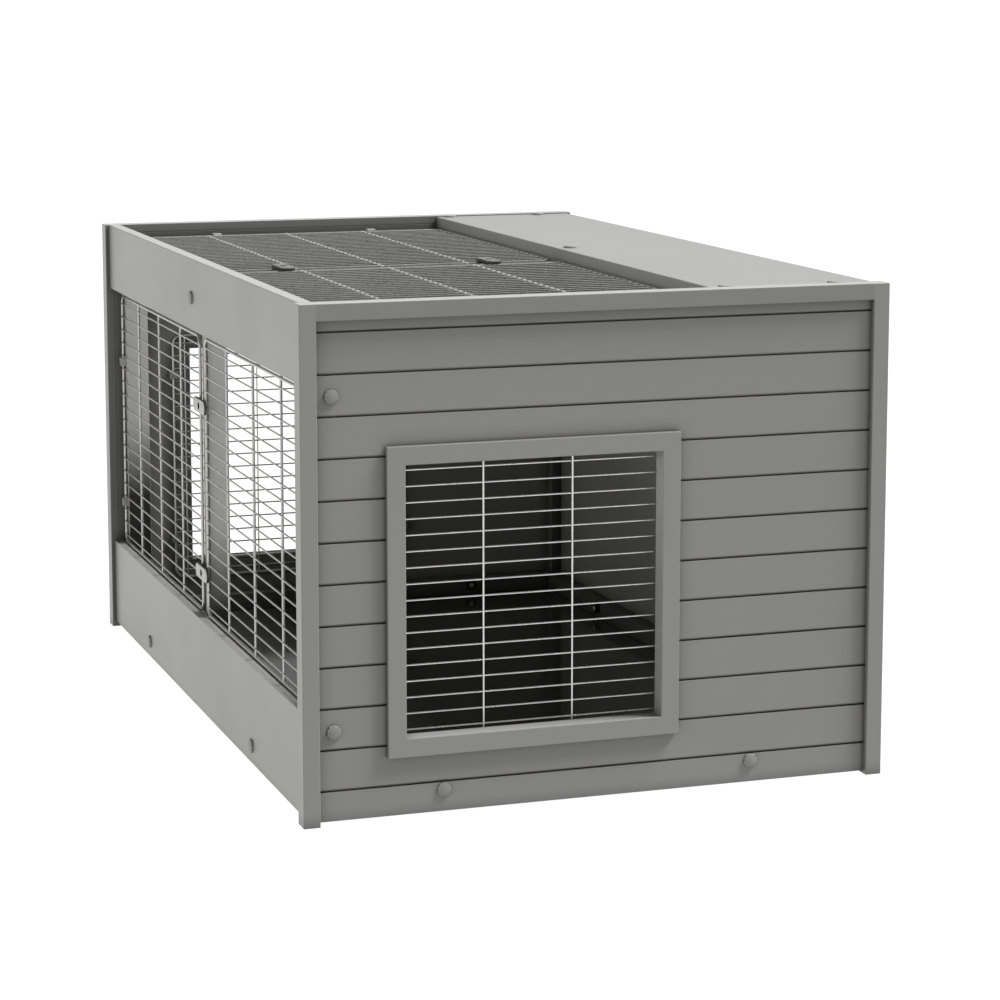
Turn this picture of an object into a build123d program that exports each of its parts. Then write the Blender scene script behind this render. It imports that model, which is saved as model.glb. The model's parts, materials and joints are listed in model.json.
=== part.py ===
from build123d import *
import os

# Rabbit hutch with two grooved end panels, two wire doors in front, two wire lids and a roof strip.
# Millimetres. Origin at the bottom centre, +Z up, -Y towards the wire doors, +X to the right of somebody
# who faces them.

# Outer size
LENGTH = 1169.0
DEPTH = 755.0
HEIGHT = 625.0

# End frames
STILE_FACE = 21.0
TOP_RAIL_FACE = 20.6
END_FRAME_THICKNESS = 25.0
REBATE = 8.0

# Grooved panels
PANEL_THICKNESS = 16.5
PANEL_BOTTOM = 4.0
BOARD_PITCH = 50.0
BOTTOM_BOARD = 35.8
GROOVE_HEIGHT = 3.6
GROOVE_SLIT = 1.2
GROOVE_DEPTH = 4.0

# Windows in the end panels
WINDOW_SETBACK = 128.5
WINDOW_WIDTH = 327.0
WINDOW_SILL = 99.0
WINDOW_HEIGHT = 331.0
WINDOW_TRIM_FACE = 23.0
WINDOW_TRIM_PROUD = 7.5
WINDOW_JAMB_WALL = 3.0
WINDOW_JAMB_GAP = 0.5

# Front rails
RAIL_SETBACK = 6.0
RAIL_THICKNESS = 17.0
FRONT_TOP_RAIL_FACE = 97.0
FRONT_BOTTOM_RAIL_LOW = 7.7
FRONT_BOTTOM_RAIL_FACE = 127.8

# Posts
CORNER_POST_WIDTH = 30.0
CORNER_POST_DEPTH = 34.0
CENTRE_POST_WIDTH = 30.0
CENTRE_POST_DEPTH = 27.0
CLEAT_WIDTH = 22.0
CLEAT_DEPTH = 16.0

# Floor
FLOOR_THICKNESS = 12.0
BATTEN_WIDTH = 22.0
BATTEN_HEIGHT = 26.0

# Roof and the bars under the top
ROOF_DEPTH = 219.5
ROOF_DROP = 1.8
ROOF_THICKNESS = 16.5
LEDGE_HEIGHT = 26.5
ROOF_BEAM_THICKNESS = 26.5
ROOF_BEAM_HEIGHT = 47.0

# Welded wire
WIRE_PITCH = 19.8
RIM_WIRE = 4.4
BAR_WIRE = 3.6
FINE_WIRE = 2.2
WELD_SINK = 1.5
RIM_CORNER = 13.0
SEAT_GAP = 0.3

# Wire doors
HINGE_INSET = 19.5
MEETING_LAP = 1.2
DOOR_SILL_GAP = 0.5
DOOR_TOP_GAP = 8.6
DOOR_BAR_PITCH = 142.0
DOOR_BARS = 3

# Wire lids
LID_RECESS = 23.5
LID_FRONT_GAP = 9.5
LID_REAR_GAP = 5.0
LID_BARS = 3
LID_WIRE_PITCH = 21.2

# Window grilles
GRILLE_FRONT_LAP = 27.0
GRILLE_REAR_LAP = 15.0
GRILLE_END_LAP = 24.0
GRILLE_DROP = 3.0
GRILLE_BAR_WIRE = 2.2
GRILLE_BAR_PITCH = 114.0
GRILLE_BARS = 4
GRILLE_FIRST_BAR = 18.2

# Clips
CLIP_CLEARANCE = 0.08
CLIP_WIDTH = 14.0
CLIP_LENGTH = 12.0
CLIP_WALL = 2.4
DOOR_CLIP_GAPS = (2, -6)
GRILLE_CLIP_GAPS = (2, -4)
LID_CLIP_OFFSET = 14.0

# Turn buttons
BUTTON_LENGTH = 66.0
BUTTON_WIDTH = 19.0
BUTTON_THICKNESS = 3.8
BUTTON_CORNER = 5.0
BUTTON_GAP = 0.7
BUTTON_HUB = 12.0
BUTTON_HUB_GAP = 0.4
BUTTON_SLOT_WIDTH = 7.0
BUTTON_SLOT_LENGTH = 11.0
BUTTON_SLOT_DEPTH = 1.2
BUTTON_EDGE = 0.6
STUD_DIAMETER = 6.0
STUD_CLEARANCE = 0.06
STUD_SEAT_DEPTH = 14.0
STUD_TIP = 1.1
STUD_END_GAP = 0.5
DOOR_BUTTON_RISE = 55.8
DOOR_BUTTON_DROP = 92.7
LID_BUTTON_FRONT_INSET = 101.5
LID_BUTTON_REAR_INSET = 96.5

# Bolts
BOLT_HEAD = 18.0
BOLT_HEAD_HEIGHT = 2.8
BOLT_HEAD_EDGE = 0.8
BOLT_SHANK = 8.0
BOLT_HOLE_CLEARANCE = 0.3
BOLT_END_GAP = 1.0
BOLT_TIP = 1.0
POST_GRIP = 20.0
CLEAT_GRIP = 10.5
NUT_ACROSS = 13.0
NUT_SIDES = 6
NUT_HEIGHT = 6.5
NUT_CLEARANCE = 0.05
POST_BOLT_HEIGHT = 113.0
WALL_BOLT_HEIGHT = 133.0
UPPER_BOLT_DROP = 110.0
TOP_RAIL_BOLT_DROP = 53.0
END_BATTEN_BOLT_SPACING = 401.0
LONG_BATTEN_BOLT_SPACING = 616.0
BATTEN_BOLT_RISE = 15.0
ROOF_BOLT_SETBACK = 53.5
ROOF_BOLT_INSET = 9.5
BEAM_BOLT_SETBACK = 19.0

# Planes that the pieces share
END_FACE = LENGTH / 2
END_INNER = END_FACE - END_FRAME_THICKNESS
PANEL_FACE = END_INNER + PANEL_THICKNESS
PANEL_TOP = HEIGHT - TOP_RAIL_FACE + REBATE
FRONT_FACE = -DEPTH / 2
REAR_FACE = DEPTH / 2
STILE_INNER = REAR_FACE - STILE_FACE
FIRST_GROOVE = PANEL_BOTTOM + BOTTOM_BOARD
WINDOW_FRONT = FRONT_FACE + WINDOW_SETBACK
WINDOW_REAR = WINDOW_FRONT + WINDOW_WIDTH
WINDOW_HEAD = WINDOW_SILL + WINDOW_HEIGHT
RAIL_FRONT = FRONT_FACE + RAIL_SETBACK
RAIL_BACK = RAIL_FRONT + RAIL_THICKNESS
WALL_FACE = REAR_FACE - RAIL_SETBACK
WALL_INNER = WALL_FACE - PANEL_THICKNESS
FRONT_BOTTOM_RAIL_TOP = FRONT_BOTTOM_RAIL_LOW + FRONT_BOTTOM_RAIL_FACE
FRONT_TOP_RAIL_LOW = HEIGHT - FRONT_TOP_RAIL_FACE
FLOOR_TOP = PANEL_BOTTOM + FLOOR_THICKNESS
BATTEN_TOP = FLOOR_TOP + BATTEN_HEIGHT
ROOF_FRONT = WALL_FACE - ROOF_DEPTH
ROOF_TOP = HEIGHT - ROOF_DROP
ROOF_UNDERSIDE = ROOF_TOP - ROOF_THICKNESS
ROOF_BEAM_BACK = ROOF_FRONT + ROOF_BEAM_THICKNESS
CORNER_POST_INNER = END_INNER - CORNER_POST_WIDTH
CORNER_POST_BACK = RAIL_BACK + CORNER_POST_DEPTH
CENTRE_POST_HALF = CENTRE_POST_WIDTH / 2
CENTRE_POST_BACK = RAIL_BACK + CENTRE_POST_DEPTH
CLEAT_INNER = END_INNER - CLEAT_WIDTH
CLEAT_FRONT = WALL_INNER - CLEAT_DEPTH
BATTEN_INNER = END_INNER - BATTEN_WIDTH
REAR_BATTEN_END = min(CLEAT_INNER, BATTEN_INNER)
HINGE_X = END_INNER - HINGE_INSET
LEDGE_INNER = HINGE_X - CLIP_WIDTH / 2

# Wire panels
RIM_RADIUS = RIM_WIRE / 2
FINE_STAND = FINE_WIRE / 2 - WELD_SINK
MEETING_X = CENTRE_POST_HALF + RIM_RADIUS - MEETING_LAP
DOOR_WIDTH = HINGE_X - MEETING_X
DOOR_CENTRE = MEETING_X + DOOR_WIDTH / 2
DOOR_PLANE = RAIL_BACK - SEAT_GAP - RIM_RADIUS
DOOR_LOW = FRONT_BOTTOM_RAIL_TOP + DOOR_SILL_GAP + RIM_RADIUS
DOOR_HIGH = FRONT_TOP_RAIL_LOW - DOOR_TOP_GAP - RIM_RADIUS
DOOR_HEIGHT = DOOR_HIGH - DOOR_LOW
DOOR_MIDDLE = DOOR_LOW + DOOR_HEIGHT / 2
LID_SEAT = HEIGHT - LID_RECESS
LID_PLANE = LID_SEAT + SEAT_GAP + RIM_RADIUS
LID_FRONT = RAIL_BACK + LID_FRONT_GAP
LID_REAR = ROOF_FRONT - LID_REAR_GAP
LID_DEPTH = LID_REAR - LID_FRONT
LID_MIDDLE = LID_FRONT + LID_DEPTH / 2
LID_BAR_PITCH = LID_DEPTH / (LID_BARS + 1)
GRILLE_PLANE = END_INNER - RIM_RADIUS
GRILLE_FRONT = WINDOW_FRONT - GRILLE_FRONT_LAP
GRILLE_WIDTH = WINDOW_REAR + GRILLE_REAR_LAP - GRILLE_FRONT
GRILLE_HEIGHT = WINDOW_HEIGHT + 2 * GRILLE_END_LAP
GRILLE_CENTRE = GRILLE_FRONT + GRILLE_WIDTH / 2
GRILLE_CENTRE_HEIGHT = WINDOW_SILL + WINDOW_HEIGHT / 2 - GRILLE_DROP

# Turn buttons and their studs
BUTTON_LIFT = max(RIM_RADIUS, BAR_WIRE / 2 + FINE_STAND + FINE_WIRE / 2) + BUTTON_GAP
BUTTON_STAND = BUTTON_LIFT + RIM_RADIUS + SEAT_GAP
STUD_BORE = STUD_DIAMETER + 2 * STUD_CLEARANCE
DOOR_BUTTON_HEIGHTS = (DOOR_LOW + DOOR_BUTTON_RISE, DOOR_HIGH - DOOR_BUTTON_DROP)
LID_BUTTON_PLACES = (LID_FRONT + LID_BUTTON_FRONT_INSET, LID_REAR - LID_BUTTON_REAR_INSET)

SIDES = {"left": -1, "right": 1}
STANDING = (Align.CENTER, Align.CENTER, Align.MIN)
HANGING = (Align.CENTER, Align.CENTER, Align.MAX)
os.makedirs("parts", exist_ok=True)


def span(near, far, side=1):
    """Give the low and high plane of a piece, mirrored to the given side."""
    return tuple(sorted((side * near, side * far)))


def block(x_span, y_span, z_span, mode=Mode.ADD):
    """Add a straight-sided block between three pairs of planes to the open part."""
    middle = [sum(pair) / 2 for pair in (x_span, y_span, z_span)]
    size = [pair[1] - pair[0] for pair in (x_span, y_span, z_span)]
    with Locations(tuple(middle)):
        Box(*size, mode=mode)


def rods(plane, places, diameter, depth, mode=Mode.ADD):
    """Add or cut round rods that start on a plane, at places in its own coordinates."""
    with BuildSketch(plane) as rod_ends:
        with Locations(*places):
            Circle(diameter / 2)
    extrude(rod_ends.sketch, amount=depth, mode=mode)


def spread(count, pitch):
    """Give the places of a centred row."""
    return [pitch * (index - (count - 1) / 2) for index in range(count)]


def fill(width, pitch):
    """Give the places of the centred row of wires that fills a width."""
    return spread(int(width / pitch), pitch)


def between(row, first):
    """Give the middle of the gap after one place of a row."""
    return (row[first] + row[first + 1]) / 2


def save(part, name):
    """Label a finished piece and write it."""
    part.label = name
    export_step(part, f"parts/{name}.step")


# Bolts: each group has the places of its heads, the way the heads face and the length of the shanks
FORWARD = (0, -1, 0)
BACKWARD = (0, 1, 0)
UPWARD = (0, 0, 1)
OUTWARD = {-1: (-1, 0, 0), 1: (1, 0, 0)}
BOLT_HOLE = BOLT_SHANK + 2 * BOLT_HOLE_CLEARANCE
CORNER_POST_MIDDLE = RAIL_BACK + CORNER_POST_DEPTH / 2
CLEAT_MIDDLE = END_INNER - CLEAT_WIDTH / 2
ROOF_BOLT_X = END_INNER - ROOF_BOLT_INSET
END_NUT_FACE = PANEL_THICKNESS + BATTEN_WIDTH
RAIL_NUT_FACE = RAIL_THICKNESS + BATTEN_WIDTH
NUT_END = NUT_HEIGHT + BOLT_TIP


def end_post_bolts(side):
    """Give the bolts that hold an end panel to its front corner post."""
    heights = (POST_BOLT_HEIGHT, HEIGHT - UPPER_BOLT_DROP)
    places = [(side * PANEL_FACE, CORNER_POST_MIDDLE, z) for z in heights]
    return places, OUTWARD[side], PANEL_THICKNESS + POST_GRIP


def end_batten_bolts(side):
    """Give the bolts that hold an end panel to its floor batten."""
    height = FLOOR_TOP + BATTEN_BOLT_RISE
    places = [(side * PANEL_FACE, y, height) for y in spread(2, END_BATTEN_BOLT_SPACING)]
    return places, OUTWARD[side], END_NUT_FACE + NUT_END


def wall_bolts(side):
    """Give the bolts that hold the rear wall to one corner cleat."""
    places = [(side * CLEAT_MIDDLE, WALL_FACE, z) for z in (WALL_BOLT_HEIGHT, HEIGHT - UPPER_BOLT_DROP)]
    return places, BACKWARD, PANEL_THICKNESS + CLEAT_GRIP


def ledge_bolts(side):
    """Give the bolt that holds the roof to one ledge."""
    place = (side * ROOF_BOLT_X, WALL_FACE - ROOF_BOLT_SETBACK, ROOF_TOP)
    return [place], UPWARD, ROOF_THICKNESS + POST_GRIP


def long_batten_bolts(y, normal, nut_face):
    """Give the bolts that hold the front rail or the rear wall to its floor batten."""
    places = [(x, y, FLOOR_TOP + BATTEN_BOLT_RISE) for x in spread(2, LONG_BATTEN_BOLT_SPACING)]
    return places, normal, nut_face + NUT_END


FRONT_BATTEN_BOLTS = long_batten_bolts(RAIL_FRONT, FORWARD, RAIL_NUT_FACE)
REAR_BATTEN_BOLTS = long_batten_bolts(WALL_FACE, BACKWARD, END_NUT_FACE)
TOP_RAIL_BOLTS = [(0, RAIL_FRONT, HEIGHT - TOP_RAIL_BOLT_DROP)], FORWARD, RAIL_THICKNESS + POST_GRIP
BEAM_BOLT_Y = ROOF_FRONT + BEAM_BOLT_SETBACK
BEAM_BOLT_PLACES = [(x, BEAM_BOLT_Y, ROOF_TOP) for x in (-ROOF_BOLT_X, 0, ROOF_BOLT_X)]
BEAM_BOLTS = BEAM_BOLT_PLACES, UPWARD, ROOF_THICKNESS + POST_GRIP


def facing(places, normal):
    """Give a plane at every place, all facing one way."""
    return [Plane(origin=place, z_dir=normal) for place in places]


def drill(places, normal, length):
    """Cut the holes of one group of bolts out of the open part, from the head plane inwards."""
    with Locations(*facing(places, normal)):
        Cylinder(BOLT_HOLE / 2, length + BOLT_END_GAP, align=HANGING, mode=Mode.SUBTRACT)


def bolts(*groups):
    """Make the capped bolts of some groups as one piece."""
    rim = BOLT_HEAD_HEIGHT - BOLT_HEAD_EDGE
    with BuildPart() as made:
        for places, normal, length in groups:
            with Locations(*facing(places, normal)):
                Cylinder(BOLT_HEAD / 2, rim, align=STANDING)
                with Locations((0, 0, rim)):
                    Cone(BOLT_HEAD / 2, BOLT_HEAD / 2 - BOLT_HEAD_EDGE, BOLT_HEAD_EDGE, align=STANDING)
                Cylinder(BOLT_SHANK / 2, length, align=HANGING)
    return made.part


def nuts(*groups):
    """Make the hexagonal nuts on the inner ends of some groups of through bolts."""
    with BuildPart() as made:
        for places, normal, length in groups:
            for head in facing(places, normal):
                with BuildSketch(head.offset(NUT_END - length)) as ring:
                    RegularPolygon(NUT_ACROSS / 2, NUT_SIDES, major_radius=False)
                    Circle(BOLT_SHANK / 2 + NUT_CLEARANCE, mode=Mode.SUBTRACT)
                extrude(ring.sketch, amount=-NUT_HEIGHT)
    return made.part


# End frames and grooved end panels


def end_stile(side, end):
    """Make one upright of an end frame, rebated inside for the panel."""
    with BuildPart() as stile:
        block(span(END_INNER, END_FACE, side), span(STILE_INNER, REAR_FACE, end), (0, HEIGHT))
        rebate_y = span(STILE_INNER, STILE_INNER + REBATE, end)
        rebate_x = span(END_INNER, PANEL_FACE, side)
        block(rebate_x, rebate_y, (PANEL_BOTTOM, PANEL_TOP), mode=Mode.SUBTRACT)
    return stile.part


def end_top_rail(side):
    """Make the top member of an end frame, rebated below for the panel."""
    rail_low = HEIGHT - TOP_RAIL_FACE
    with BuildPart() as rail:
        block(span(END_INNER, END_FACE, side), (-STILE_INNER, STILE_INNER), (rail_low, HEIGHT))
        rebate_x = span(END_INNER, PANEL_FACE, side)
        block(rebate_x, (-STILE_INNER, STILE_INNER), (rail_low, PANEL_TOP), mode=Mode.SUBTRACT)
    return rail.part


def cut_grooves(plane, face, inward, length, top):
    """Cut the board lines into a panel: a bevel above a narrow slit, at every board."""
    count = int((top - FIRST_GROOVE) / BOARD_PITCH) + 1
    section = [(face, GROOVE_HEIGHT), (face + inward * GROOVE_DEPTH / 2, GROOVE_SLIT),
               (face + inward * GROOVE_DEPTH, GROOVE_SLIT), (face + inward * GROOVE_DEPTH, 0), (face, 0)]
    with BuildSketch(plane) as grooves:
        with Locations(*[(0, FIRST_GROOVE + BOARD_PITCH * index) for index in range(count)]):
            Polygon(*section, align=None)
    extrude(grooves.sketch, amount=length, mode=Mode.SUBTRACT)


def end_panel(side):
    """Make the grooved panel of one end, with its window cut-out and bolt holes."""
    half_width = STILE_INNER + REBATE
    margin = WINDOW_JAMB_WALL + WINDOW_JAMB_GAP
    cut_y = (WINDOW_FRONT - margin, WINDOW_REAR + margin)
    cut_z = (WINDOW_SILL - margin, WINDOW_HEAD + margin)
    with BuildPart() as panel:
        panel_x = span(END_INNER, PANEL_FACE, side)
        block(panel_x, (-half_width, half_width), (PANEL_BOTTOM, PANEL_TOP))
        block(panel_x, cut_y, cut_z, mode=Mode.SUBTRACT)
        cut_grooves(Plane.XZ.offset(half_width), side * PANEL_FACE, -side, -2 * half_width,
                    HEIGHT - TOP_RAIL_FACE)
        drill(*end_post_bolts(side))
        drill(*end_batten_bolts(side))
    return panel.part


def window_trim(side):
    """Make the frame round one window: a flat face outside and a jamb through the panel."""
    sides_y = (WINDOW_FRONT, WINDOW_REAR)
    sides_z = (WINDOW_SILL, WINDOW_HEAD)

    def around(pair, margin):
        return (pair[0] - margin, pair[1] + margin)

    with BuildPart() as trim:
        face_x = span(PANEL_FACE, PANEL_FACE + WINDOW_TRIM_PROUD, side)
        block(face_x, around(sides_y, WINDOW_TRIM_FACE), around(sides_z, WINDOW_TRIM_FACE))
        jamb_x = span(END_INNER, PANEL_FACE, side)
        block(jamb_x, around(sides_y, WINDOW_JAMB_WALL), around(sides_z, WINDOW_JAMB_WALL))
        through_x = span(END_INNER, PANEL_FACE + WINDOW_TRIM_PROUD, side)
        block(through_x, sides_y, sides_z, mode=Mode.SUBTRACT)
    return trim.part


# Welded wire


def wire_panel(plane, reach, height, bars, wires, bar_wire=BAR_WIRE):
    """Weld a panel on a plane: a round-cornered rim, bars along its y and fine wires along its x."""
    corners = [(-reach / 2, -height / 2), (reach / 2, -height / 2),
               (reach / 2, height / 2), (-reach / 2, height / 2)]
    with BuildPart() as panel:
        with BuildLine(plane) as rim:
            FilletPolyline(*corners, radius=RIM_CORNER, close=True)
        with BuildSketch(Plane(origin=rim.line @ 0, z_dir=rim.line % 0)):
            Circle(RIM_RADIUS)
        sweep()
        bar_start = plane.from_local_coords((0, -height / 2, 0))
        bar_plane = Plane(origin=bar_start, x_dir=plane.x_dir, z_dir=plane.y_dir)
        rods(bar_plane, [(place, 0) for place in bars], bar_wire, height)
        wire_start = plane.from_local_coords((-reach / 2, 0, bar_wire / 2 + FINE_STAND))
        wire_plane = Plane(origin=wire_start, x_dir=plane.y_dir, z_dir=plane.x_dir)
        rods(wire_plane, [(place, 0) for place in wires], FINE_WIRE, reach)
    return panel.part


def door(side):
    """Make one wire door, with its fine wires on the outside."""
    middle = Plane(origin=(side * DOOR_CENTRE, DOOR_PLANE, DOOR_MIDDLE), x_dir=(1, 0, 0), z_dir=(0, -1, 0))
    return wire_panel(middle, DOOR_WIDTH, DOOR_HEIGHT, spread(DOOR_BARS, DOOR_BAR_PITCH),
                      fill(DOOR_HEIGHT, WIRE_PITCH))


def lid(side):
    """Make one wire lid, with its fine wires on top."""
    middle = Plane(origin=(side * DOOR_CENTRE, LID_MIDDLE, LID_PLANE), x_dir=(0, -1, 0), z_dir=(0, 0, 1))
    return wire_panel(middle, LID_DEPTH, DOOR_WIDTH, spread(LID_BARS, LID_BAR_PITCH),
                      fill(DOOR_WIDTH, LID_WIRE_PITCH))


def grille(side):
    """Make the wire panel behind one window, with its fine wires on the inside."""
    middle = Plane(origin=(side * GRILLE_PLANE, GRILLE_CENTRE, GRILLE_CENTRE_HEIGHT),
                   x_dir=(0, -side, 0), z_dir=(-side, 0, 0))
    bars = [GRILLE_FRONT + GRILLE_FIRST_BAR + index * GRILLE_BAR_PITCH for index in range(GRILLE_BARS)]
    return wire_panel(middle, GRILLE_WIDTH, GRILLE_HEIGHT, [-side * (y - GRILLE_CENTRE) for y in bars],
                      fill(GRILLE_HEIGHT, WIRE_PITCH), GRILLE_BAR_WIRE)


def clips(seats, wire_height):
    """Make the saddle clips that hold a wire at a height above some seat planes.

    The wire runs along each plane's y, and the plane's normal points away from what it is fixed to.
    """
    bore = RIM_WIRE + 2 * CLIP_CLEARANCE
    height = wire_height + bore / 2 + CLIP_WALL
    with BuildPart() as made:
        for seat in seats:
            with BuildSketch(seat) as foot:
                Rectangle(CLIP_WIDTH, CLIP_LENGTH)
            extrude(foot.sketch, amount=height)
            with BuildSketch(seat) as channel:
                Rectangle(bore, CLIP_LENGTH)
            extrude(channel.sketch, amount=wire_height, mode=Mode.SUBTRACT)
            bore_start = seat.from_local_coords((0, -CLIP_LENGTH / 2, wire_height))
            bore_plane = Plane(origin=bore_start, x_dir=seat.x_dir, z_dir=seat.y_dir)
            rods(bore_plane, [(0, 0)], bore, CLIP_LENGTH, mode=Mode.SUBTRACT)
    return made.part


def door_clips(side):
    """Make the clips in which one door's outer wire turns, on the face of the corner post."""
    wires = fill(DOOR_HEIGHT, WIRE_PITCH)
    heights = [DOOR_MIDDLE + between(wires, gap) for gap in DOOR_CLIP_GAPS]
    seats = [Plane(origin=(side * HINGE_X, RAIL_BACK, z), x_dir=(1, 0, 0), z_dir=FORWARD) for z in heights]
    return clips(seats, SEAT_GAP + RIM_RADIUS)


def lid_clips(side):
    """Make the clips in which one lid's outer wire turns, on the ledge beside each end bar."""
    places = [LID_MIDDLE + end * LID_BAR_PITCH + LID_CLIP_OFFSET for end in (-1, 1)]
    seats = [Plane.XY.offset(LID_SEAT).move(Location((side * HINGE_X, y, 0))) for y in places]
    return clips(seats, SEAT_GAP + RIM_RADIUS)


def grille_clips(side):
    """Make the clips that fix one grille's upright rim wires to the inside of the end panel."""
    wires = fill(GRILLE_HEIGHT, WIRE_PITCH)
    heights = [GRILLE_CENTRE_HEIGHT + between(wires, gap) for gap in GRILLE_CLIP_GAPS]
    places = [(side * END_INNER, GRILLE_CENTRE + y, z) for y in spread(2, GRILLE_WIDTH) for z in heights]
    seats = [Plane(origin=place, x_dir=(0, -side, 0), z_dir=(-side, 0, 0)) for place in places]
    return clips(seats, RIM_RADIUS)


def button(plane):
    """Make a turn button whose underside lies on a plane, with its hub below."""
    with BuildPart() as piece:
        with BuildSketch(plane):
            RectangleRounded(BUTTON_LENGTH, BUTTON_WIDTH, BUTTON_CORNER)
        extrude(amount=BUTTON_THICKNESS)
        top_edges = piece.edges().group_by(Axis(plane.origin, plane.z_dir))[-1]
        chamfer(top_edges, BUTTON_EDGE)
        rods(plane, [(0, 0)], BUTTON_HUB, BUTTON_HUB_GAP - BUTTON_STAND)
        with BuildSketch(plane.offset(BUTTON_THICKNESS)) as slot:
            SlotOverall(BUTTON_SLOT_LENGTH, BUTTON_SLOT_WIDTH, rotation=90)
        extrude(slot.sketch, amount=-BUTTON_SLOT_DEPTH, mode=Mode.SUBTRACT)
        bore_depth = BUTTON_STAND + STUD_TIP + STUD_END_GAP
        rods(plane.offset(-BUTTON_STAND), [(0, 0)], STUD_BORE, bore_depth, mode=Mode.SUBTRACT)
    return piece.part


def studs(planes):
    """Make the studs that buttons turn on, from inside their seat to inside the button."""
    with BuildPart() as made:
        for plane in planes:
            start = plane.offset(-BUTTON_STAND - STUD_SEAT_DEPTH)
            rods(start, [(0, 0)], STUD_DIAMETER, STUD_SEAT_DEPTH + BUTTON_STAND + STUD_TIP)
    return made.part


def stud_holes(planes):
    """Cut the seats of the studs out of the open part."""
    for plane in planes:
        start = plane.offset(-BUTTON_STAND - STUD_SEAT_DEPTH)
        rods(start, [(0, 0)], STUD_DIAMETER, STUD_SEAT_DEPTH, mode=Mode.SUBTRACT)


DOOR_BUTTON_PLANES = [Plane(origin=(0, DOOR_PLANE - BUTTON_LIFT, z), x_dir=(1, 0, 0), z_dir=FORWARD)
                      for z in DOOR_BUTTON_HEIGHTS]
LID_BUTTON_PLANES = [Plane(origin=(0, y, LID_PLANE + BUTTON_LIFT), x_dir=(1, 0, 0), z_dir=UPWARD)
                     for y in LID_BUTTON_PLACES]

# Both ends, from the outside inwards
for name, side in SIDES.items():
    save(end_stile(side, -1), f"{name}_front_stile")
    save(end_stile(side, 1), f"{name}_rear_stile")
    save(end_top_rail(side), f"{name}_end_top_rail")
    save(end_panel(side), f"{name}_end_panel")
    save(window_trim(side), f"{name}_window_frame")
    save(grille(side), f"{name}_window_grille")
    save(grille_clips(side), f"{name}_grille_clips")
    save(bolts(end_post_bolts(side), end_batten_bolts(side)), f"{name}_end_bolts")

    with BuildPart() as front_post:
        block(span(CORNER_POST_INNER, END_INNER, side), (RAIL_BACK, CORNER_POST_BACK), (FLOOR_TOP, LID_SEAT))
        drill(*end_post_bolts(side))
    save(front_post.part, f"{name}_front_post")

    with BuildPart() as rear_cleat:
        block(span(CLEAT_INNER, END_INNER, side), (CLEAT_FRONT, WALL_INNER), (FLOOR_TOP, ROOF_UNDERSIDE))
        drill(*wall_bolts(side))
    save(rear_cleat.part, f"{name}_rear_cleat")

    with BuildPart() as end_batten:
        block(span(BATTEN_INNER, END_INNER, side), (CORNER_POST_BACK, CLEAT_FRONT), (FLOOR_TOP, BATTEN_TOP))
        drill(*end_batten_bolts(side))
    save(end_batten.part, f"floor_batten_{name}")

    with BuildPart() as lid_ledge:
        block(span(LEDGE_INNER, END_INNER, side), (CORNER_POST_BACK, ROOF_FRONT),
              (LID_SEAT - LEDGE_HEIGHT, LID_SEAT))
    save(lid_ledge.part, f"{name}_lid_ledge")

    with BuildPart() as roof_ledge:
        block(span(LEDGE_INNER, END_INNER, side), (ROOF_BEAM_BACK, CLEAT_FRONT),
              (ROOF_UNDERSIDE - LEDGE_HEIGHT, ROOF_UNDERSIDE))
        drill(*ledge_bolts(side))
    save(roof_ledge.part, f"{name}_roof_ledge")

# Front
with BuildPart() as front_top_rail:
    block((-END_INNER, END_INNER), (RAIL_FRONT, RAIL_BACK), (FRONT_TOP_RAIL_LOW, HEIGHT))
    drill(*TOP_RAIL_BOLTS)
save(front_top_rail.part, "front_top_rail")

with BuildPart() as front_bottom_rail:
    block((-END_INNER, END_INNER), (RAIL_FRONT, RAIL_BACK), (FRONT_BOTTOM_RAIL_LOW, FRONT_BOTTOM_RAIL_TOP))
    drill(*FRONT_BATTEN_BOLTS)
save(front_bottom_rail.part, "front_bottom_rail")

with BuildPart() as centre_post:
    block((-CENTRE_POST_HALF, CENTRE_POST_HALF), (RAIL_BACK, CENTRE_POST_BACK), (BATTEN_TOP, LID_SEAT))
    drill(*TOP_RAIL_BOLTS)
    stud_holes(DOOR_BUTTON_PLANES)
save(centre_post.part, "centre_post")

save(bolts(TOP_RAIL_BOLTS, FRONT_BATTEN_BOLTS), "front_rail_bolts")

# Floor
with BuildPart() as floor_panel:
    block((-END_INNER, END_INNER), (RAIL_BACK, WALL_INNER), (PANEL_BOTTOM, FLOOR_TOP))
save(floor_panel.part, "floor_panel")

with BuildPart() as front_batten:
    block((-CORNER_POST_INNER, CORNER_POST_INNER), (RAIL_BACK, RAIL_BACK + BATTEN_WIDTH),
          (FLOOR_TOP, BATTEN_TOP))
    drill(*FRONT_BATTEN_BOLTS)
save(front_batten.part, "floor_batten_front")

with BuildPart() as rear_batten:
    block((-REAR_BATTEN_END, REAR_BATTEN_END), (WALL_INNER - BATTEN_WIDTH, WALL_INNER),
          (FLOOR_TOP, BATTEN_TOP))
    drill(*REAR_BATTEN_BOLTS)
save(rear_batten.part, "floor_batten_rear")

save(nuts(end_batten_bolts(-1), end_batten_bolts(1), FRONT_BATTEN_BOLTS, REAR_BATTEN_BOLTS), "batten_nuts")

# Rear wall
with BuildPart() as rear_wall:
    block((-END_INNER, END_INNER), (WALL_INNER, WALL_FACE), (PANEL_BOTTOM, ROOF_UNDERSIDE))
    cut_grooves(Plane.YZ.offset(-END_INNER), WALL_FACE, -1, 2 * END_INNER, ROOF_UNDERSIDE)
    drill(*wall_bolts(-1))
    drill(*wall_bolts(1))
    drill(*REAR_BATTEN_BOLTS)
save(rear_wall.part, "rear_wall")

save(bolts(wall_bolts(-1), wall_bolts(1), REAR_BATTEN_BOLTS), "rear_wall_bolts")

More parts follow.
